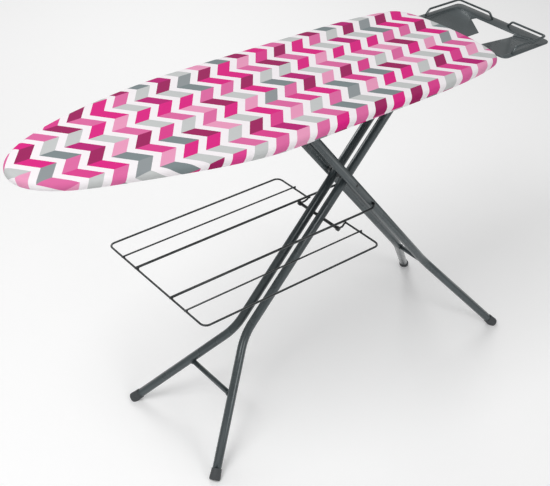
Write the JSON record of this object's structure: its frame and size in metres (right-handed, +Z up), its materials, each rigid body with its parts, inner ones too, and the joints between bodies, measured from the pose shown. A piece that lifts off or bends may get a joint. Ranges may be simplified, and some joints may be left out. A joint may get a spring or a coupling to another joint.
{
  "type": "ironing board",
  "caption": "Folding ironing board with crossed tube legs, padded cloth-covered top, wire clothes rack below and a steel iron rest at one end.",
  "frame": {"origin": "on the floor, under the middle of the whole object at full working height", "axes": "+Z up, +X along the board from its nose to the iron rest, +Y across the board, away from the near side seen in the picture"},
  "size_m": [1.398, 0.4001, 0.888],
  "materials": {
    "printed_cotton": "matt printed cotton",
    "white_cord": "matt",
    "grey_foam": "matt",
    "slate_powder_coat": "semi-gloss powder coat",
    "dark_wire_coat": "semi-gloss powder coat",
    "zinc_plate": "satin",
    "grey_plastic": "matt",
    "black_rubber": "matt"
  },
  "bodies": {
    "board": {"cotton_cover": "printed_cotton", "hem_cord": "white_cord", "foam_underlay": "grey_foam", "vented_panel": "slate_powder_coat", "rim_frame": "slate_powder_coat", "front_strap": "slate_powder_coat", "middle_strap": "slate_powder_coat", "hinge_strap": "slate_powder_coat", "hinge_bracket_near": "slate_powder_coat", "hinge_bracket_far": "slate_powder_coat", "slide_rail_near": "slate_powder_coat", "slide_rail_far": "slate_powder_coat", "rest_bar_near": "slate_powder_coat", "rest_bar_far": "slate_powder_coat", "iron_rest": "slate_powder_coat", "guard_rail_near": "slate_powder_coat", "guard_rail_far": "slate_powder_coat", "latch_guide_front": "grey_plastic", "latch_guide_back": "grey_plastic", "latch_spring": "zinc_plate"},
    "inner_frame": {"inner_leg_near": "slate_powder_coat", "inner_leg_far": "slate_powder_coat", "inner_foot_near": "black_rubber", "inner_foot_far": "black_rubber", "inner_cross_bar": "slate_powder_coat", "inner_top_tube": "slate_powder_coat", "top_tube_cap_near": "grey_plastic", "top_tube_cap_far": "grey_plastic", "pivot_axle": "zinc_plate", "centre_spacer": "grey_plastic", "rack_rod": "dark_wire_coat"},
    "outer_frame": {"outer_leg_near": "slate_powder_coat", "outer_leg_far": "slate_powder_coat", "outer_foot_near": "black_rubber", "outer_foot_far": "black_rubber", "outer_cross_bar": "slate_powder_coat", "slide_rod": "zinc_plate", "slide_shoe_near": "grey_plastic", "slide_shoe_far": "grey_plastic", "side_spacer_near": "grey_plastic", "side_spacer_far": "grey_plastic"},
    "rack": {"rack_frame": "dark_wire_coat", "rack_arm_near": "dark_wire_coat", "rack_arm_far": "dark_wire_coat", "rack_slat_near": "dark_wire_coat", "rack_slat_far": "dark_wire_coat", "rack_sleeve_near": "dark_wire_coat", "rack_sleeve_far": "dark_wire_coat"},
    "latch": {"latch_bar": "zinc_plate", "latch_handle": "zinc_plate", "latch_grip": "black_rubber"}
  },
  "joints": [
    {"name": "fold", "type": "hinge", "parent": "board", "child": "inner_frame", "pos_m": [0.384, 0, 0.853], "axis": [0, 1, 0], "range_deg": [0, 45.37]},
    {"name": "leg_cross", "type": "hinge", "parent": "inner_frame", "child": "outer_frame", "pos_m": [0.15935, 0, 0.59117], "axis": [0, 1, 0], "range_deg": [-90.75, 0]},
    {"name": "rack_turn", "type": "hinge", "parent": "inner_frame", "child": "rack", "pos_m": [0.0985, 0, 0.49637], "axis": [0, 1, 0], "range_deg": [-45.38, 0]},
    {"name": "latch_lift", "type": "slide", "parent": "board", "child": "latch", "axis": [0, 0, 1], "range_m": [0, 0.005], "stiffness_N_per_m": 300, "springref_m": -0.02, "deforming": ["latch_spring"]}
  ],
  "couplings": [
    {"joint": "leg_cross", "follows": "fold", "ratio": -2},
    {"joint": "rack_turn", "follows": "fold", "ratio": -1}
  ]
}
